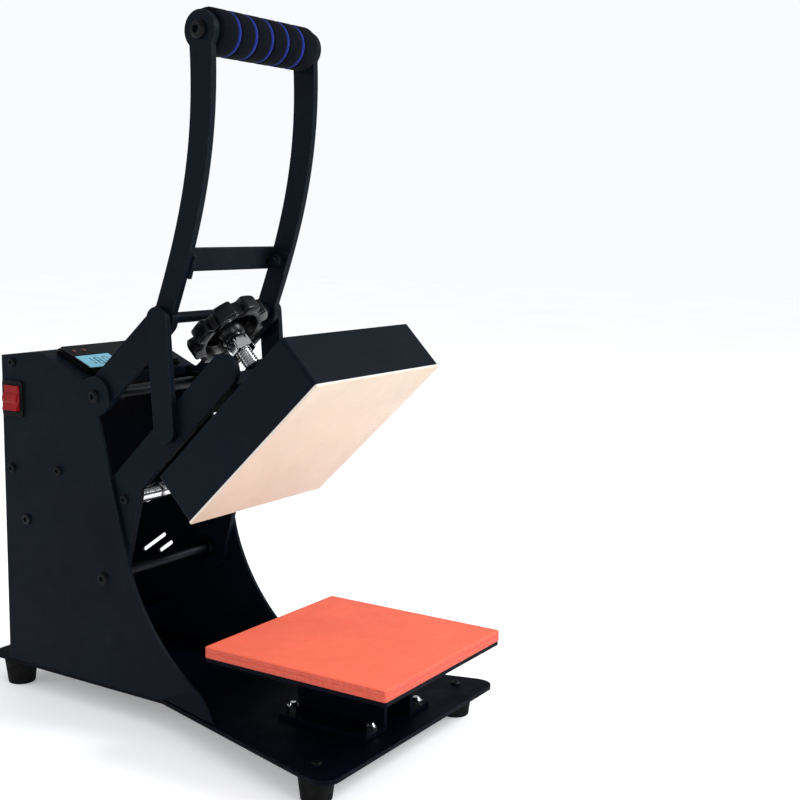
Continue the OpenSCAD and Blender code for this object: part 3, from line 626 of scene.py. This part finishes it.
def add_knob():
    """The star knob: a lobed rim, a dished face and a hub below, as rings in millimetres."""
    angles = [math.atan2(p.y, p.x) for p in knob_outline(0)]

    def lobed(inset, z):
        return [knob_place @ Vector((p.x, p.y, z * MM)) for p in knob_outline(inset)]

    def plain(r, z):
        return [knob_place @ (Vector((r * math.cos(a), r * math.sin(a), z)) * MM) for a in angles]

    rings = [plain(6.05, -3.0), plain(9.0, -3.0), plain(9.5, -2.6), plain(11.4, 2.6),
             plain(11.9, 7.0), plain(12.6, 8.2), plain(14.0, 8.5), plain(19.6, 8.5),
             plain(21.2, 8.1), plain(21.9, 7.0), plain(22.1, 0.9), plain(22.5, 0.2),
             plain(23.2, 0.0), lobed(1.5, 0.0), lobed(0.7, 0.2), lobed(0.2, 0.7),
             lobed(0.0, 1.5), lobed(0.0, 9.9), lobed(0.25, 11.1), lobed(0.9, 12.0),
             lobed(2.0, 12.45), plain(23.0, KNOB_T), plain(21.6, 12.3), plain(20.8, 11.5),
             plain(12.6, 11.2), plain(11.8, 11.5), plain(11.2, 12.3), plain(10.4, KNOB_T),
             plain(6.0, KNOB_T), plain(0.4, KNOB_T)]
    verts, faces = stack(rings, (False, True))
    knob = make_piece("star_knob", verts, faces, "knob", knob_plastic,
                      ["pressure_knob"])
    sharpen(knob, 50)


def span_on_screw(node):
    """A node's lowest and highest point along the screw, in the knob's local frame."""
    zero = knob_place.translation.dot(lift_axis)
    low, high = reach(node, lift_axis)
    return low - zero, high - zero


def add_pressure_screw():
    """A metric thread, one groove that winds up the bar by 2 mm a turn, and a plain collar."""
    low = span_on_screw("pressure_screw")[0]
    radius, pitch, deep, steps = 6 * MM, 2 * MM, 1.05 * MM, 48
    per_turn = 10
    lead_in, lead_cut = 1.5 * MM, 0.6 * MM
    top = (KNOB_T - 4) * MM
    rings = []
    count = int((top - low) / pitch * per_turn)
    for k in range(count + 1):
        z = low + (top - low) * k / count
        fade = min(1.0, (z - low) / lead_in)
        row = []
        for i in range(steps):
            phase = (z / pitch - i / steps) % 1.0
            tooth = abs(2 * phase - 1)
            cut = min(max((tooth - 0.12) / 0.7, 0), 1) * deep
            r = radius - cut * fade - (1 - fade) * lead_cut
            a = 2 * math.pi * i / steps
            row.append(knob_place @ Vector((r * math.cos(a), r * math.sin(a), z)))
        rings.append(row)
    verts, faces = stack(rings)
    make_piece("threaded_screw", verts, faces, "knob", chrome, ["pressure_screw"])
    collar_low, collar_high = -6.5 * MM, -3.0 * MM
    profile = [(6.1, collar_low), (7.0, collar_low), (7.45, collar_low + 0.5 * MM),
               (7.45, collar_high - 0.5 * MM), (7.0, collar_high), (6.1, collar_high)]
    verts, faces = stack(turned([(r * MM, z) for r, z in profile], knob_place), (False, False))
    collar = make_piece("screw_collar", verts, faces, "knob", chrome)
    sharpen(collar)


def hex_rings(place, across, z_low, z_high, bore):
    """Rings of a hexagon nut with both ends turned to a chamfer."""
    apothem, steps = across / 2, 96

    def row(z, cap):
        out = []
        for i in range(steps):
            a = 2 * math.pi * i / steps
            flat_r = apothem / math.cos((a + math.pi / 6) % (math.pi / 3) - math.pi / 6)
            r = min(flat_r, cap)
            out.append(place @ Vector((r * math.cos(a), r * math.sin(a), z)))
        return out

    corner = apothem / math.cos(math.pi / 6)
    cap = apothem * 0.97
    drop = (corner - cap) * 0.55
    halfway, past_corner = cap + (corner - cap) * 0.5, corner * 1.01
    span = [(z_low, cap), (z_low + drop * 0.5, halfway), (z_low + drop, past_corner),
            (z_high - drop, past_corner), (z_high - drop * 0.5, halfway), (z_high, cap)]
    mouth = bore + 0.6 * MM
    rings = turned([(bore, z_low), (mouth, z_low)], place, steps)
    rings += [row(z, c) for z, c in span]
    rings += turned([(mouth, z_high), (bore, z_high - 0.5 * MM), (bore, z_low)], place, steps)
    return rings


def add_lock_nut():
    low, high = span_on_screw("lock_nut")
    across, bore = 19.0 * MM, 5.8 * MM
    verts, faces = stack(hex_rings(knob_place, across, low, high, bore), (False, False))
    nut = make_piece("hex_lock_nut", verts, faces, "knob", chrome, ["lock_nut"])
    sharpen(nut, 25)


# ---- silicone pad ----


def add_pad():
    """A pad of two glued layers: rounded corners, soft edges and a seam halfway up its sides."""
    low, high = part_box("silicone_pad")
    centre = middle("silicone_pad")
    half_x, half_y = (high.x - low.x) / 2, (high.y - low.y) / 2
    top, mid, bottom = high.z, centre.z, low.z
    corner = 2.2 * MM
    side_steps, corner_steps = 40, 8

    def outline(inset, z):
        """One ring of the pad at a height, with many points on each side."""
        pts = []
        r = max(corner - inset, 0.3 * MM)
        corners = ((1, 1), (-1, 1), (-1, -1), (1, -1))
        for q, (sx, sy) in enumerate(corners):
            cx, cy = sx * (half_x - inset - r), sy * (half_y - inset - r)
            for i in range(corner_steps + 1):
                a = math.pi / 2 * (q + i / corner_steps)
                pts.append(Vector((cx + r * math.cos(a), cy + r * math.sin(a), z)))
            nx, ny = corners[(q + 1) % 4]
            ex, ey = nx * (half_x - inset - r), ny * (half_y - inset - r)
            a = math.pi / 2 * (q + 1)
            start, end = pts[-1], Vector((ex + r * math.cos(a), ey + r * math.sin(a), z))
            pts += [start.lerp(end, k / side_steps) for k in range(1, side_steps)]
        return [Vector((p.x + centre.x, p.y + centre.y, p.z)) for p in pts]

    rings = [outline(0.8 * MM, bottom), outline(0.2 * MM, bottom + 0.2 * MM),
             outline(0.0, bottom + 0.8 * MM), outline(0.05 * MM, mid - 0.7 * MM),
             outline(0.25 * MM, mid - 0.2 * MM), outline(0.7 * MM, mid),
             outline(0.3 * MM, mid + 0.2 * MM), outline(0.1 * MM, mid + 0.7 * MM),
             outline(0.0, top - 1.0 * MM), outline(0.25 * MM, top - 0.35 * MM),
             outline(0.9 * MM, top - 0.05 * MM), outline(2.4 * MM, top)]
    verts, faces = stack(rings)
    pad = make_piece("sponge_pad", verts, faces, "frame", pad_rubber, ["silicone_pad"])


# ---- lift springs ----


def tube(points, radius, steps):
    """Rings of a round wire along points, carried without twist."""
    rings, side = [], None
    angles = [2 * math.pi * k / steps for k in range(steps)]
    for i, p in enumerate(points):
        ahead = (points[min(i + 1, len(points) - 1)] - points[max(i - 1, 0)]).normalized()
        side = side or ahead.orthogonal()
        side = (side - ahead * side.dot(ahead)).normalized()
        up = ahead.cross(side)
        rings.append([p + radius * (math.cos(a) * side + math.sin(a) * up) for a in angles])
    return rings


def spring_path(span, hook_low, hook_high, wire, coil_r):
    """A close-wound spring along Z from a rod at 0 to a rod at span, with an open hook on each."""
    neck, ramp_from, ramp_long, ramp_steps = 6.5 * MM, 0.3 * MM, 5.4 * MM, 6
    coil_from, coil_to = hook_low + neck, span - hook_high - neck
    turns = round((coil_to - coil_from) / (2.05 * wire)) + 0.5
    points_per_turn = 18
    count = int(turns * points_per_turn)

    def hook(z, r, sign, degrees):
        a = math.radians(degrees)
        return Vector((0, sign * r * math.sin(a), z - sign * r * math.cos(a)))

    def ramp(i):
        """How far out and how far along the wire is at a step between a hook and the coil."""
        t = i / ramp_steps
        return coil_r * (t * t * (3 - 2 * t)), ramp_from + t * ramp_long

    path = [hook(0, hook_low, -1, t) for t in range(215, 0, -15)]
    for i in range(1, ramp_steps):
        out, along = ramp(i)
        path.append(Vector((0, -out, hook_low + along)))
    for k in range(count + 1):
        a = -math.pi / 2 + 2 * math.pi * turns * k / count
        z = coil_from + (coil_to - coil_from) * k / count
        path.append(Vector((coil_r * math.cos(a), coil_r * math.sin(a), z)))
    for i in range(ramp_steps - 1, 0, -1):
        out, along = ramp(i)
        path.append(Vector((0, out, span - hook_high - along)))
    path += [hook(span, hook_high, 1, t) for t in range(15, 226, 15)]
    return path


def add_springs():
    """Two tension springs between the fixed rod and the arm's cross rod."""
    low, high = middle("spring_rod"), middle("arm_cross_rod")
    wire, coil_r, rod_low, rod_high = 0.8 * MM, 5.7 * MM, 4 * MM, 5 * MM
    cad_coil_r, wire_sides = 6.5 * MM, 10
    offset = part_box("lift_springs")[1].x - cad_coil_r
    path = spring_path((high - low).length, rod_low + wire, rod_high + wire, wire, coil_r)
    for name, x in (("left", -offset), ("right", offset)):
        foot, top = Vector((x, low.y, low.z)), Vector((x, high.y, high.z))
        place = frame_at(foot, top - foot)
        verts, faces = stack(tube([place @ p for p in path], wire, wire_sides))
        spring = make_piece(f"lift_spring_{name}", verts, faces, None, spring_wire,
                            ["lift_springs"] if name == "left" else ())
        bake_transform(spring)


# ---- marks on the switch, keys and display ----


def bar_mesh(place, x, y, w, h, t):
    """Eight corners and six faces of a small raised bar at (x, y) in a local frame."""
    corners = ((-1, -1), (1, -1), (1, 1), (-1, 1))
    pts = [place @ Vector((x + sx * w / 2, y + sy * h / 2, z)) for z in (0, t) for sx, sy in corners]
    quads = [(3, 2, 1, 0), (4, 5, 6, 7), (0, 1, 5, 4), (1, 2, 6, 5), (2, 3, 7, 6), (3, 0, 4, 7)]
    return pts, quads


def join(parts):
    """One list of verts and faces from several."""
    verts, faces = [], []
    for v, f in parts:
        base = len(verts)
        verts += v
        faces += [tuple(i + base for i in face) for face in f]
    return verts, faces


MARK_T = 0.06 * MM
READING = "180"
# The lit segments of each digit; each segment's middle in half-digits, and 1 if it lies flat
SEGMENTS = {"1": "bc", "8": "abcdefg", "0": "abcdef"}
SEGMENT_AT = {"a": (0, 1, 1), "g": (0, 0, 1), "d": (0, -1, 1), "f": (-1, 0.5, 0), "b": (1, 0.5, 0),
              "e": (-1, -0.5, 0), "c": (1, -0.5, 0)}

slope_n = -Vector(joints["key_set_press"]["axis"]).normalized()


def top_of(node, lift):
    """A local frame, Z off the sloped panel, just over the middle of a control's outer face."""
    centre = middle(node)
    high = reach(node, slope_n)[1]
    return frame_at(centre + slope_n * (high - centre.dot(slope_n) + lift), slope_n)


def add_display_digits():
    """A seven-segment reading on the display."""
    place = top_of("display_window", 0.02 * MM)
    half_w, half_h, bar, pitch = 2.2, 4.8, 0.8, 8.4
    parts = []
    for k, digit in enumerate(READING):
        cx = (k - 1) * pitch
        for s in SEGMENTS[digit]:
            dx, dy, flat = SEGMENT_AT[s]
            w, h = (2 * half_w - 1.1 * bar, bar) if flat else (bar, half_h - 0.6 * bar)
            x, y = (cx + dx * half_w) * MM, dy * half_h * MM
            parts.append(bar_mesh(place, x, y, w * MM, h * MM, MARK_T))
    verts, faces = join(parts)
    make_piece("display_digits", verts, faces, "frame", lcd_dark, smooth=False)


def add_key_marks():
    """A ring on the first key, and a triangle up or down on the other two."""
    for key, kind in (("key_set", "ring"), ("key_up", "up"), ("key_down", "down")):
        place = top_of(key, 0.01 * MM)
        if kind == "ring":
            inner, outer = 1.1 * MM, 1.6 * MM
            profile = [(inner, 0), (inner, MARK_T), (outer, MARK_T), (outer, 0)]
            verts, faces = stack(turned(profile, place, 32), (False, False))
        else:
            sign = 1 if kind == "up" else -1
            tip, foot, side = 1.5 * MM * sign, -1.1 * MM * sign, 1.6 * MM
            tri = [Vector((0, tip, 0)), Vector((-side, foot, 0)), Vector((side, foot, 0))]
            up = Vector((0, 0, MARK_T))
            verts = [place @ p for p in tri] + [place @ (p + up) for p in tri]
            faces = [(0, 2, 1), (3, 4, 5), (0, 1, 4, 3), (1, 2, 5, 4), (2, 0, 3, 5)]
        make_piece(f"{key}_mark", verts, faces, key, white_mark, smooth=False)


def add_floor():
    """A wide, nearly white floor that glows a little, so that it meets the backdrop without a line."""
    half = 6.0
    mesh = bpy.data.meshes.new("floor")
    mesh.from_pydata([(-half, -half, 0), (half, -half, 0), (half, half, 0), (-half, half, 0)], [],
                     [(0, 1, 2, 3)])
    p = Paint("floor")
    p.colour(p.mix(p.spread(p.noise(3, 4), 0.3, 0.7), (0.90, 0.90, 0.905), (0.94, 0.94, 0.945)))
    p.set(roughness=p.spread(p.noise(7, 5), 0.3, 0.7, 0.5, 0.62), specular_ior_level=0.3,
          emission_color=(1.0, 1.0, 1.0), emission_strength=0.26)
    p.bump(p.noise(500, 2), 0.03, 0.0002)
    mesh.materials.append(p.material)
    floor = bpy.data.objects.new("floor", mesh)
    bpy.context.scene.collection.objects.link(floor)


add_foam_grip()
add_knob()
add_pressure_screw()
add_lock_nut()
add_pad()
add_springs()
add_display_digits()
add_key_marks()
add_floor()
